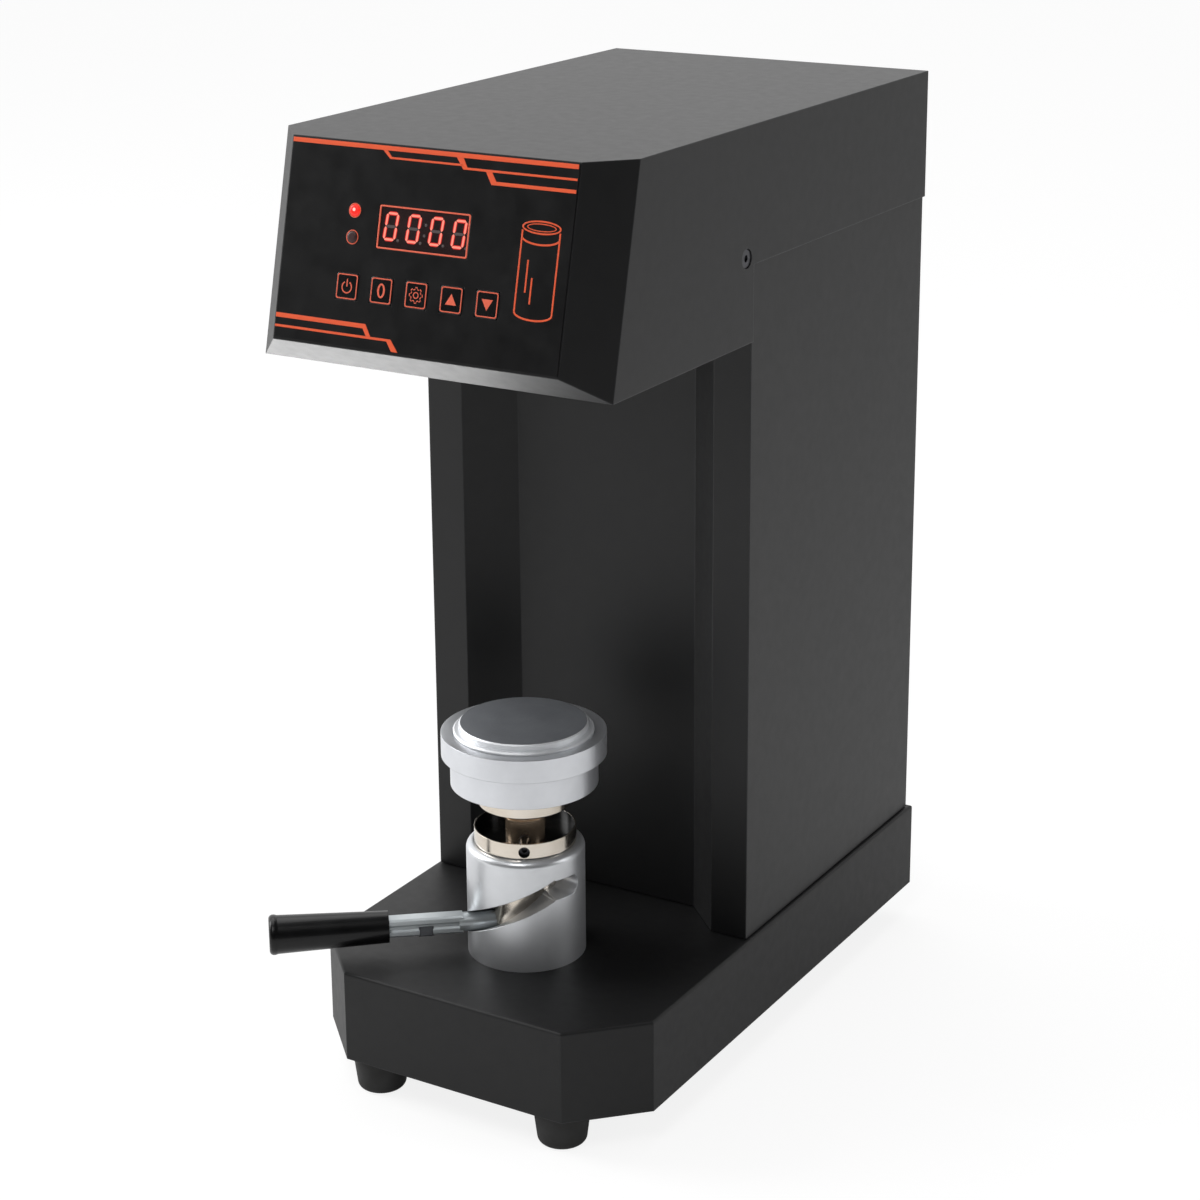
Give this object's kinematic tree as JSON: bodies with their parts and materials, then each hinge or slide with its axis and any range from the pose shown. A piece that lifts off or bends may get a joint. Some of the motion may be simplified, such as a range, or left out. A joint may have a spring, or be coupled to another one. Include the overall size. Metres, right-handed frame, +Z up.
{
  "type": "can seamer",
  "caption": "Bench can seamer: base on feet, recessed column, head with leaning control panel, driven chuck and rollers, and a lever that screws the can tray up.",
  "frame": {"origin": "centre of the base, on the surface that the four feet stand on", "axes": "+Z up, the control panel and can side face -Y, +X to the right seen from the front; the seaming axis is parallel to Z at x 0, y -98 mm"},
  "size_m": [0.2109, 0.3625, 0.5063],
  "materials": {
    "powder_coat": "fine satin powder coat, near black",
    "plated_sheet": "plain black painted sheet",
    "rubber": "matt black moulded rubber",
    "screw_steel": "dark plated steel",
    "frame_steel": "zinc plated steel plate",
    "overlay_film": "black film with orange printed lines",
    "display": "smoked window with red digits",
    "lamp_lit": "lit red lamp",
    "lamp_off": "dark red lamp, not lit",
    "key_film": "black domed key with orange print",
    "circuit_board": "green lacquered board",
    "inlet_plastic": "black moulded plastic",
    "cast_housing": "dark enamelled casting",
    "ground_steel": "ground steel",
    "pulley_alloy": "turned aluminium",
    "belt": "black rubber belt",
    "barrel_alloy": "satin anodised aluminium",
    "tray_alloy": "bright satin aluminium",
    "pad_alloy": "satin top with bright turned rim",
    "nickel": "bright nickel plate with a warm tint",
    "zinc_plate": "bright zinc plate",
    "brass_bush": "yellow passivated brass",
    "grip_plastic": "glossy black plastic"
  },
  "bodies": {
    "machine": {"base_shell": "powder_coat", "base_bottom_plate": "plated_sheet", "foot_front_left": "rubber", "foot_front_right": "rubber", "foot_rear_left": "rubber", "foot_rear_right": "rubber", "foot_screws": "screw_steel", "column_shell": "powder_coat", "column_back_cover": "powder_coat", "back_cover_screws": "screw_steel", "frame_side_left": "frame_steel", "frame_side_right": "frame_steel", "head_plate": "frame_steel", "head_hood": "powder_coat", "hood_screws": "screw_steel", "head_underside_plate": "powder_coat", "control_overlay": "overlay_film", "control_pcb": "circuit_board", "pcb_standoffs": "inlet_plastic", "display_module": "display", "auto_indicator": "lamp_lit", "manual_indicator": "lamp_off", "power_inlet": "inlet_plastic", "spindle_housing": "cast_housing", "spindle_bearings": "ground_steel", "drive_belt": "belt", "motor_body": "cast_housing", "gearmotor_body": "cast_housing", "yoke_pivot_pin": "ground_steel", "cam_barrel": "barrel_alloy", "barrel_screws": "screw_steel"},
    "switch": {"switch_rocker": "inlet_plastic"},
    "spindle": {"spindle_shaft": "ground_steel", "seaming_chuck": "ground_steel", "chuck_screw": "screw_steel", "spindle_pulley": "pulley_alloy"},
    "motor_rotor": {"motor_shaft": "ground_steel", "motor_pulley": "pulley_alloy"},
    "yoke": {"roller_yoke": "ground_steel", "roller_pins": "ground_steel"},
    "roller_one": {"first_roller": "ground_steel"},
    "roller_two": {"second_roller": "ground_steel"},
    "crank": {"crank_disc": "ground_steel"},
    "lift": {"tray_drum": "tray_alloy", "tray_ring": "tray_alloy", "thrust_bearing": "ground_steel"},
    "lever": {"plunger": "nickel", "lever_bar": "zinc_plate", "lever_grip": "grip_plastic", "lever_bush": "brass_bush", "lifter_spindle": "nickel", "dust_cup": "nickel", "cup_setscrew": "screw_steel", "flange_nut": "nickel"},
    "turntable": {"tray_pad": "pad_alloy"},
    "key_power": {"key_power": "key_film"},
    "key_reset": {"key_reset": "key_film"},
    "key_set": {"key_set": "key_film"},
    "key_up": {"key_up": "key_film"},
    "key_down": {"key_down": "key_film"}
  },
  "joints": [
    {"name": "tray_lift", "type": "slide", "parent": "machine", "child": "lift", "axis": [0, 0, 1], "range_m": [0, 0.0277]},
    {"name": "lever_swing", "type": "hinge", "parent": "lift", "child": "lever", "pos_m": [0, -0.098, 0.0866], "axis": [0, 0, 1], "range_deg": [0, 112]},
    {"name": "pad_spin", "type": "hinge", "parent": "lift", "child": "turntable", "pos_m": [0, -0.098, 0.19], "axis": [0, 0, 1], "continuous": true},
    {"name": "spindle_spin", "type": "hinge", "parent": "machine", "child": "spindle", "pos_m": [0, -0.098, 0.44], "axis": [0, 0, 1], "continuous": true},
    {"name": "motor_spin", "type": "hinge", "parent": "machine", "child": "motor_rotor", "pos_m": [0, 0.095, 0.44], "axis": [0, 0, 1], "continuous": true},
    {"name": "yoke_swing", "type": "hinge", "parent": "machine", "child": "yoke", "pos_m": [0, -0.04, 0.4085], "axis": [0, 0, 1], "range_deg": [-2.6, 2.6]},
    {"name": "crank_swing", "type": "hinge", "parent": "machine", "child": "crank", "pos_m": [0, 0, 0.415], "axis": [0, 0, 1], "range_deg": [-27.87, 27.87]},
    {"name": "first_roller_spin", "type": "hinge", "parent": "yoke", "child": "roller_one", "pos_m": [-0.05, -0.098, 0.397], "axis": [0, 0, 1], "continuous": true},
    {"name": "second_roller_spin", "type": "hinge", "parent": "yoke", "child": "roller_two", "pos_m": [0.05, -0.098, 0.397], "axis": [0, 0, 1], "continuous": true},
    {"name": "rocker_tilt", "type": "hinge", "parent": "machine", "child": "switch", "pos_m": [0.052, 0.168, 0.1295], "axis": [-1, 0, 0], "range_deg": [0, 14]},
    {"name": "key_power_press", "type": "slide", "parent": "machine", "child": "key_power", "axis": [0, 0.9732, -0.23], "range_m": [0, 0.0005], "stiffness_N_per_m": 900},
    {"name": "key_reset_press", "type": "slide", "parent": "machine", "child": "key_reset", "axis": [0, 0.9732, -0.23], "range_m": [0, 0.0005], "stiffness_N_per_m": 900},
    {"name": "key_set_press", "type": "slide", "parent": "machine", "child": "key_set", "axis": [0, 0.9732, -0.23], "range_m": [0, 0.0005], "stiffness_N_per_m": 900},
    {"name": "key_up_press", "type": "slide", "parent": "machine", "child": "key_up", "axis": [0, 0.9732, -0.23], "range_m": [0, 0.0005], "stiffness_N_per_m": 900},
    {"name": "key_down_press", "type": "slide", "parent": "machine", "child": "key_down", "axis": [0, 0.9732, -0.23], "range_m": [0, 0.0005], "stiffness_N_per_m": 900}
  ],
  "couplings": [
    {"joint": "tray_lift", "follows": "lever_swing", "m_per_rad": 0.01417},
    {"joint": "motor_spin", "follows": "spindle_spin", "ratio": 2.0769},
    {"joint": "crank_swing", "follows": "yoke_swing", "ratio": 10.716}
  ]
}
